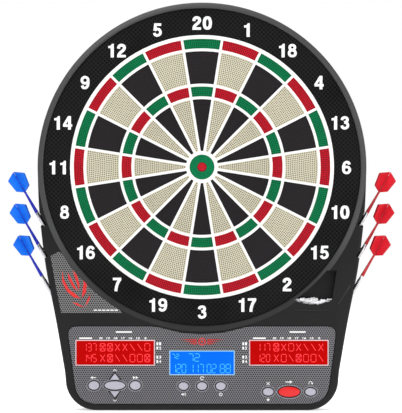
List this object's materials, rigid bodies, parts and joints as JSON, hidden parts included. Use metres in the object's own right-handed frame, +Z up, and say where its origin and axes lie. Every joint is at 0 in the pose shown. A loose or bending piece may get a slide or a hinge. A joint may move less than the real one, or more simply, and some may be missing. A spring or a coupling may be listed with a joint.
{
  "type": "electronic dartboard",
  "caption": "Wall-hung electronic soft-tip dartboard: round face of pressable segments in a web, control panel with displays and buttons, darts stored at both sides.",
  "frame": {"origin": "where the axis of the bull meets the back of the rear cover, on the wall plane", "axes": "+Z up, +Y into the wall, the playing face looks along -Y, +X to the right seen from the front"},
  "size_m": [0.5796, 0.0362, 0.6086],
  "materials": {
    "housing": "fine-textured dark grey moulded plastic",
    "number_ring": "black printed weave, satin",
    "spider": "white moulded plastic, satin",
    "segment_black": "black moulded plastic with tip holes",
    "segment_cream": "cream moulded plastic with tip holes",
    "segment_red": "red moulded plastic",
    "segment_green": "green moulded plastic",
    "rubber": "soft black rubber",
    "sensor_film": "translucent film",
    "backing": "raw fibreboard",
    "fascia": "grey printed mesh, satin",
    "score_red": "lit red display",
    "lcd_blue": "backlit blue display",
    "circuit_board": "green solder resist",
    "keypad": "silicone",
    "button_grey": "silver grey satin",
    "button_red": "red satin",
    "speaker": "black frame and cone",
    "jack": "black",
    "barrel": "knurled steel",
    "flight_blue": "blue film and shaft",
    "flight_red": "red film and shaft"
  },
  "bodies": {
    "root": {"front_housing": "housing", "rear_cover": "housing", "number_ring": "number_ring", "spider_web": "spider", "rubber_sheet": "rubber", "sensor_matrix": "sensor_film", "backing_board": "backing", "control_fascia": "fascia", "score_display_left": "score_red", "score_display_right": "score_red", "lcd_display": "lcd_blue", "main_circuit_board": "circuit_board", "button_keypad": "keypad", "speaker": "speaker", "power_jack": "jack"},
    "target_20": {"segments_20": "segment_black"},
    "target_1": {"segments_1": "segment_cream"},
    "target_18": {"segments_18": "segment_black"},
    "target_4": {"segments_4": "segment_cream"},
    "target_13": {"segments_13": "segment_black"},
    "target_6": {"segments_6": "segment_cream"},
    "target_10": {"segments_10": "segment_black"},
    "target_15": {"segments_15": "segment_cream"},
    "target_2": {"segments_2": "segment_black"},
    "target_17": {"segments_17": "segment_cream"},
    "target_3": {"segments_3": "segment_black"},
    "target_19": {"segments_19": "segment_cream"},
    "target_7": {"segments_7": "segment_black"},
    "target_16": {"segments_16": "segment_cream"},
    "target_8": {"segments_8": "segment_black"},
    "target_11": {"segments_11": "segment_cream"},
    "target_14": {"segments_14": "segment_black"},
    "target_9": {"segments_9": "segment_cream"},
    "target_12": {"segments_12": "segment_black"},
    "target_5": {"segments_5": "segment_cream"},
    "target_outer_bull": {"outer_bull": "segment_green"},
    "target_inner_bull": {"inner_bull": "segment_red"},
    "key_back": {"button_back": "button_grey"},
    "key_select": {"button_select": "button_grey"},
    "key_quick_game": {"button_quick_game": "button_grey"},
    "key_up": {"button_up": "button_grey"},
    "key_down": {"button_down": "button_grey"},
    "key_sound": {"button_sound": "button_grey"},
    "key_restart": {"button_restart": "button_grey"},
    "key_power": {"button_power": "button_grey"},
    "key_favourite": {"button_favourite": "button_grey"},
    "key_next_player": {"button_next_player": "button_red"},
    "key_bounce_out": {"button_bounce_out": "button_grey"},
    "dart_blue_1": {"dart_blue_1_barrel": "barrel", "dart_blue_1_flight": "flight_blue"},
    "dart_blue_2": {"dart_blue_2_barrel": "barrel", "dart_blue_2_flight": "flight_blue"},
    "dart_blue_3": {"dart_blue_3_barrel": "barrel", "dart_blue_3_flight": "flight_blue"},
    "dart_red_1": {"dart_red_1_barrel": "barrel", "dart_red_1_flight": "flight_red"},
    "dart_red_2": {"dart_red_2_barrel": "barrel", "dart_red_2_flight": "flight_red"},
    "dart_red_3": {"dart_red_3_barrel": "barrel", "dart_red_3_flight": "flight_red"}
  },
  "joints": [
    {"name": "pull_dart_blue_1", "type": "slide", "parent": "root", "child": "dart_blue_1", "axis": [-0.5, 0, 0.866], "range_m": [0, 0.08]},
    {"name": "pull_dart_blue_2", "type": "slide", "parent": "root", "child": "dart_blue_2", "axis": [-0.5, 0, 0.866], "range_m": [0, 0.012]},
    {"name": "pull_dart_blue_3", "type": "slide", "parent": "root", "child": "dart_blue_3", "axis": [-0.5, 0, 0.866], "range_m": [0, 0.012]},
    {"name": "pull_dart_red_1", "type": "slide", "parent": "root", "child": "dart_red_1", "axis": [0.5, 0, 0.866], "range_m": [0, 0.08]},
    {"name": "pull_dart_red_2", "type": "slide", "parent": "root", "child": "dart_red_2", "axis": [0.5, 0, 0.866], "range_m": [0, 0.012]},
    {"name": "pull_dart_red_3", "type": "slide", "parent": "root", "child": "dart_red_3", "axis": [0.5, 0, 0.866], "range_m": [0, 0.012]},
    {"name": "press_outer_bull", "type": "slide", "parent": "root", "child": "target_outer_bull", "axis": [0, 1, 0], "range_m": [0, 0.001], "stiffness_N_per_m": 800, "springref_m": -0.001},
    {"name": "press_inner_bull", "type": "slide", "parent": "root", "child": "target_inner_bull", "axis": [0, 1, 0], "range_m": [0, 0.001], "stiffness_N_per_m": 800, "springref_m": -0.001},
    {"name": "press_back", "type": "slide", "parent": "root", "child": "key_back", "axis": [0, 1, 0], "range_m": [0, 0.0012], "stiffness_N_per_m": 300, "springref_m": -0.001},
    {"name": "press_select", "type": "slide", "parent": "root", "child": "key_select", "axis": [0, 1, 0], "range_m": [0, 0.0012], "stiffness_N_per_m": 300, "springref_m": -0.001},
    {"name": "press_quick_game", "type": "slide", "parent": "root", "child": "key_quick_game", "axis": [0, 1, 0], "range_m": [0, 0.0012], "stiffness_N_per_m": 300, "springref_m": -0.001},
    {"name": "press_up", "type": "slide", "parent": "root", "child": "key_up", "axis": [0, 1, 0], "range_m": [0, 0.0012], "stiffness_N_per_m": 300, "springref_m": -0.001},
    {"name": "press_down", "type": "slide", "parent": "root", "child": "key_down", "axis": [0, 1, 0], "range_m": [0, 0.0012], "stiffness_N_per_m": 300, "springref_m": -0.001},
    {"name": "press_sound", "type": "slide", "parent": "root", "child": "key_sound", "axis": [0, 1, 0], "range_m": [0, 0.0012], "stiffness_N_per_m": 300, "springref_m": -0.001},
    {"name": "press_restart", "type": "slide", "parent": "root", "child": "key_restart", "axis": [0, 1, 0], "range_m": [0, 0.0012], "stiffness_N_per_m": 300, "springref_m": -0.001},
    {"name": "press_power", "type": "slide", "parent": "root", "child": "key_power", "axis": [0, 1, 0], "range_m": [0, 0.0012], "stiffness_N_per_m": 300, "springref_m": -0.001},
    {"name": "press_favourite", "type": "slide", "parent": "root", "child": "key_favourite", "axis": [0, 1, 0], "range_m": [0, 0.0012], "stiffness_N_per_m": 300, "springref_m": -0.001},
    {"name": "press_next_player", "type": "slide", "parent": "root", "child": "key_next_player", "axis": [0, 1, 0], "range_m": [0, 0.0012], "stiffness_N_per_m": 300, "springref_m": -0.001},
    {"name": "press_bounce_out", "type": "slide", "parent": "root", "child": "key_bounce_out", "axis": [0, 1, 0], "range_m": [0, 0.0012], "stiffness_N_per_m": 300, "springref_m": -0.001},
    {"name": "press_target_20", "type": "slide", "parent": "root", "child": "target_20", "axis": [0, 1, 0], "range_m": [0, 0.001], "stiffness_N_per_m": 800, "springref_m": -0.001},
    {"name": "press_target_1", "type": "slide", "parent": "root", "child": "target_1", "axis": [0, 1, 0], "range_m": [0, 0.001], "stiffness_N_per_m": 800, "springref_m": -0.001},
    {"name": "press_target_18", "type": "slide", "parent": "root", "child": "target_18", "axis": [0, 1, 0], "range_m": [0, 0.001], "stiffness_N_per_m": 800, "springref_m": -0.001},
    {"name": "press_target_4", "type": "slide", "parent": "root", "child": "target_4", "axis": [0, 1, 0], "range_m": [0, 0.001], "stiffness_N_per_m": 800, "springref_m": -0.001},
    {"name": "press_target_13", "type": "slide", "parent": "root", "child": "target_13", "axis": [0, 1, 0], "range_m": [0, 0.001], "stiffness_N_per_m": 800, "springref_m": -0.001},
    {"name": "press_target_6", "type": "slide", "parent": "root", "child": "target_6", "axis": [0, 1, 0], "range_m": [0, 0.001], "stiffness_N_per_m": 800, "springref_m": -0.001},
    {"name": "press_target_10", "type": "slide", "parent": "root", "child": "target_10", "axis": [0, 1, 0], "range_m": [0, 0.001], "stiffness_N_per_m": 800, "springref_m": -0.001},
    {"name": "press_target_15", "type": "slide", "parent": "root", "child": "target_15", "axis": [0, 1, 0], "range_m": [0, 0.001], "stiffness_N_per_m": 800, "springref_m": -0.001},
    {"name": "press_target_2", "type": "slide", "parent": "root", "child": "target_2", "axis": [0, 1, 0], "range_m": [0, 0.001], "stiffness_N_per_m": 800, "springref_m": -0.001},
    {"name": "press_target_17", "type": "slide", "parent": "root", "child": "target_17", "axis": [0, 1, 0], "range_m": [0, 0.001], "stiffness_N_per_m": 800, "springref_m": -0.001},
    {"name": "press_target_3", "type": "slide", "parent": "root", "child": "target_3", "axis": [0, 1, 0], "range_m": [0, 0.001], "stiffness_N_per_m": 800, "springref_m": -0.001},
    {"name": "press_target_19", "type": "slide", "parent": "root", "child": "target_19", "axis": [0, 1, 0], "range_m": [0, 0.001], "stiffness_N_per_m": 800, "springref_m": -0.001},
    {"name": "press_target_7", "type": "slide", "parent": "root", "child": "target_7", "axis": [0, 1, 0], "range_m": [0, 0.001], "stiffness_N_per_m": 800, "springref_m": -0.001},
    {"name": "press_target_16", "type": "slide", "parent": "root", "child": "target_16", "axis": [0, 1, 0], "range_m": [0, 0.001], "stiffness_N_per_m": 800, "springref_m": -0.001},
    {"name": "press_target_8", "type": "slide", "parent": "root", "child": "target_8", "axis": [0, 1, 0], "range_m": [0, 0.001], "stiffness_N_per_m": 800, "springref_m": -0.001},
    {"name": "press_target_11", "type": "slide", "parent": "root", "child": "target_11", "axis": [0, 1, 0], "range_m": [0, 0.001], "stiffness_N_per_m": 800, "springref_m": -0.001},
    {"name": "press_target_14", "type": "slide", "parent": "root", "child": "target_14", "axis": [0, 1, 0], "range_m": [0, 0.001], "stiffness_N_per_m": 800, "springref_m": -0.001},
    {"name": "press_target_9", "type": "slide", "parent": "root", "child": "target_9", "axis": [0, 1, 0], "range_m": [0, 0.001], "stiffness_N_per_m": 800, "springref_m": -0.001},
    {"name": "press_target_12", "type": "slide", "parent": "root", "child": "target_12", "axis": [0, 1, 0], "range_m": [0, 0.001], "stiffness_N_per_m": 800, "springref_m": -0.001},
    {"name": "press_target_5", "type": "slide", "parent": "root", "child": "target_5", "axis": [0, 1, 0], "range_m": [0, 0.001], "stiffness_N_per_m": 800, "springref_m": -0.001}
  ]
}
